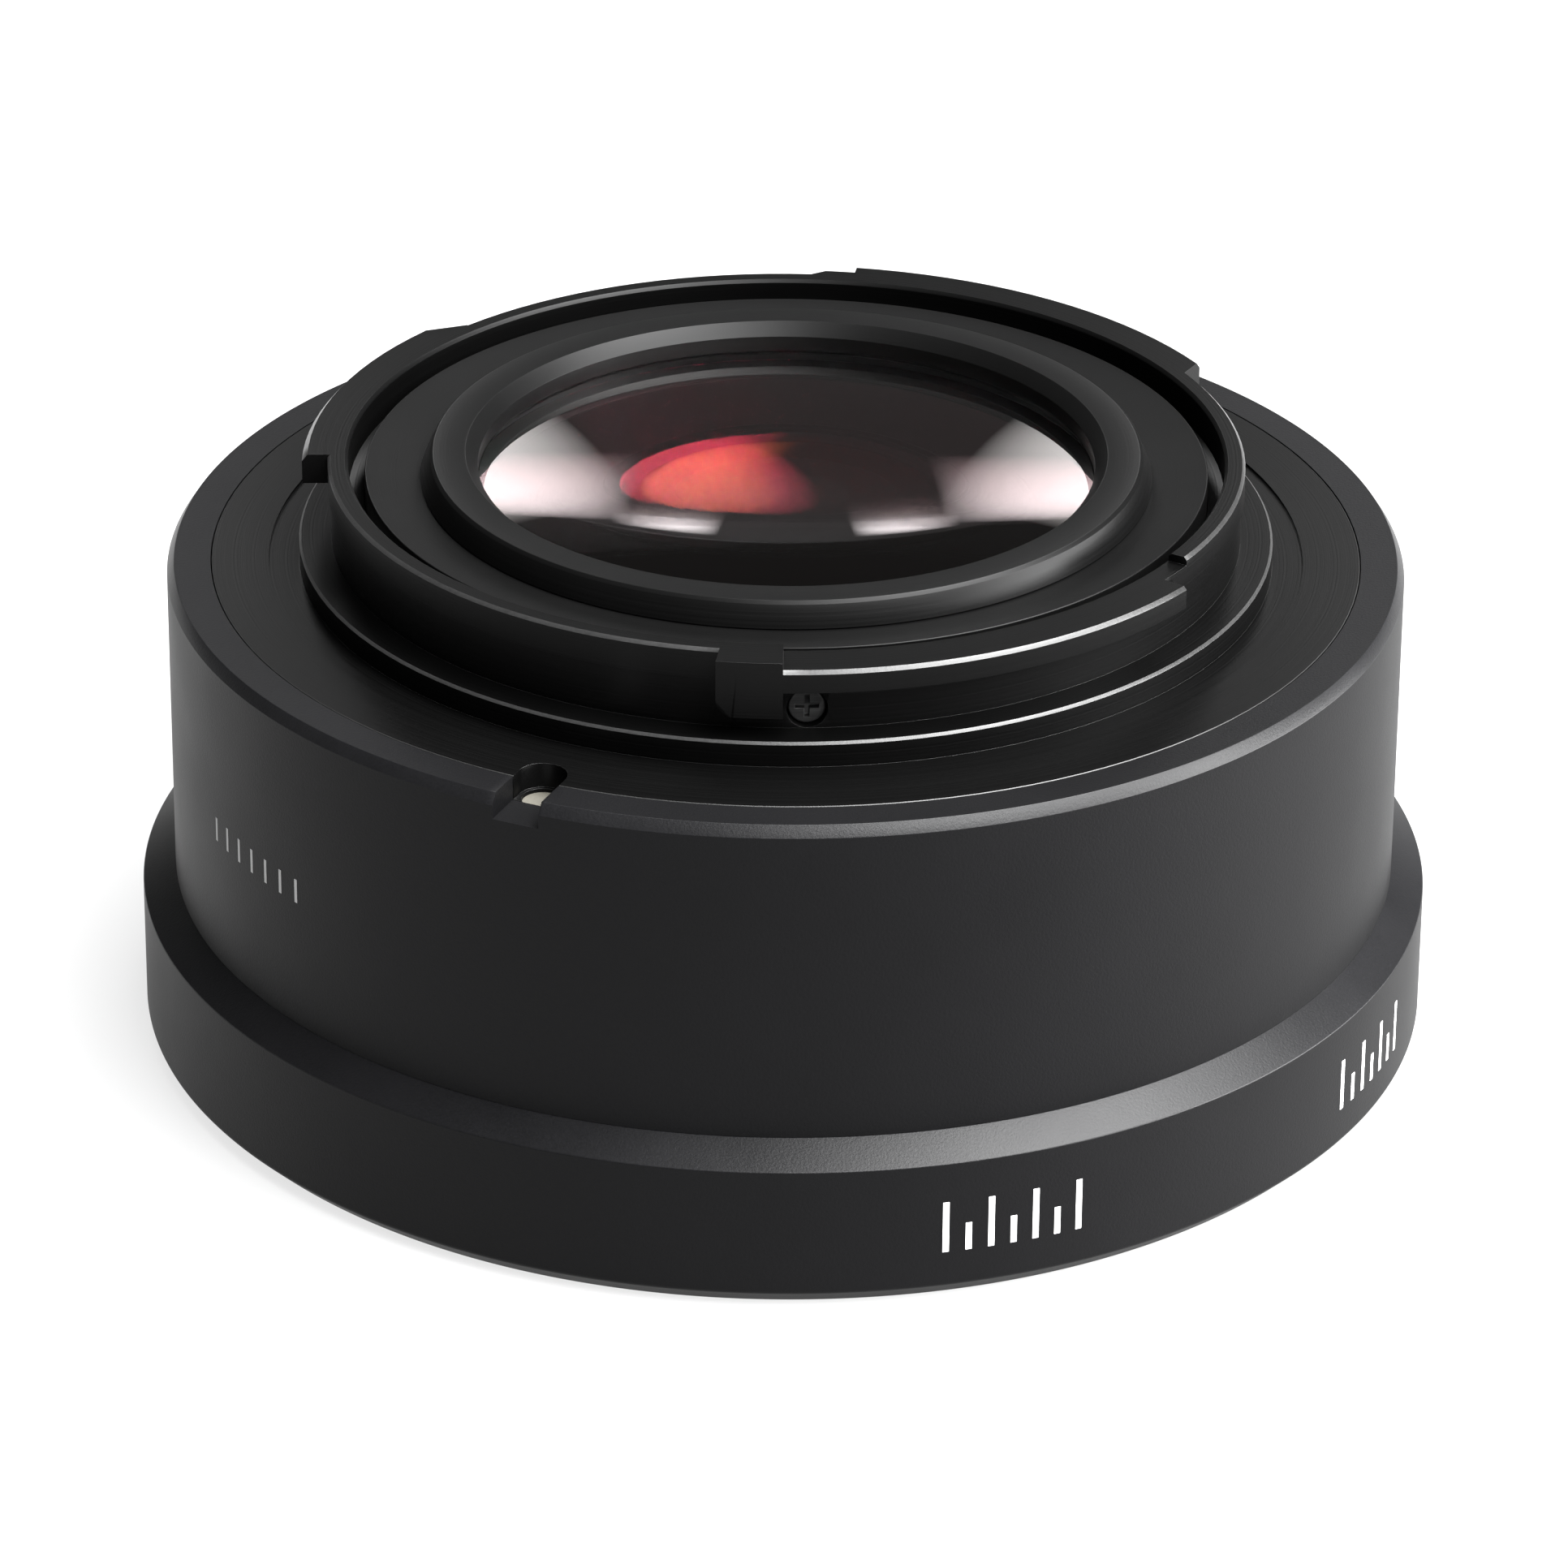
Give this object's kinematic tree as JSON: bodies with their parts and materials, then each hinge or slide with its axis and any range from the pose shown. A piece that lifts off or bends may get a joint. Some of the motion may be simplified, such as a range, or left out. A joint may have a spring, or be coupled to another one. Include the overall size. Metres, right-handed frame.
{
  "type": "focal reducer",
  "caption": "Short round barrel between a lens and a mirrorless camera: lugged male bayonet and domed rear glass on top, female lens bayonet with lock pin and release below.",
  "frame": {"origin": "centre of the bottom plane of the lens-side rim, which the part stands on", "axes": "+Z along the optical axis towards the camera; -Y towards the picture's camera, +X to its right"},
  "size_m": [0.0626, 0.0626, 0.0292],
  "materials": {
    "black_anodised": "bead-blasted black anodised",
    "black_metal": "satin black anodised",
    "black_spacer": "matt black",
    "coated_glass": "polished, anti-reflection coated",
    "glass": "polished",
    "chromed_brass": "satin chrome plate on brass",
    "steel_screw": "black oxide",
    "spring_steel": "bright spring steel",
    "steel_pin": "polished steel"
  },
  "bodies": {
    "housing": {"lens_side_ring": "black_anodised", "body_barrel": "black_anodised", "camera_bayonet": "black_metal", "optics_lock_screw": "steel_screw", "optical_barrel": "black_metal", "rear_cell": "black_metal", "rear_element": "coated_glass", "third_element": "glass", "second_element": "glass", "front_element": "glass", "middle_spacer": "black_spacer", "front_spacer": "black_spacer", "rear_retaining_ring": "black_metal", "front_retaining_ring": "black_metal", "inner_baffle": "black_metal", "lens_mount_plate": "chromed_brass", "plate_screws": "steel_screw", "bayonet_screws": "steel_screw", "leaf_springs": "spring_steel", "lock_spring": "spring_steel"},
    "release": {"release_slider": "black_metal", "lock_pin": "steel_pin"}
  },
  "joints": [
    {"name": "release_slide", "type": "slide", "parent": "housing", "child": "release", "axis": [0, 0, 1], "range_m": [0, 0.0013], "stiffness_N_per_m": 900, "springref_m": -0.0015, "deforming": ["lock_spring"]}
  ]
}
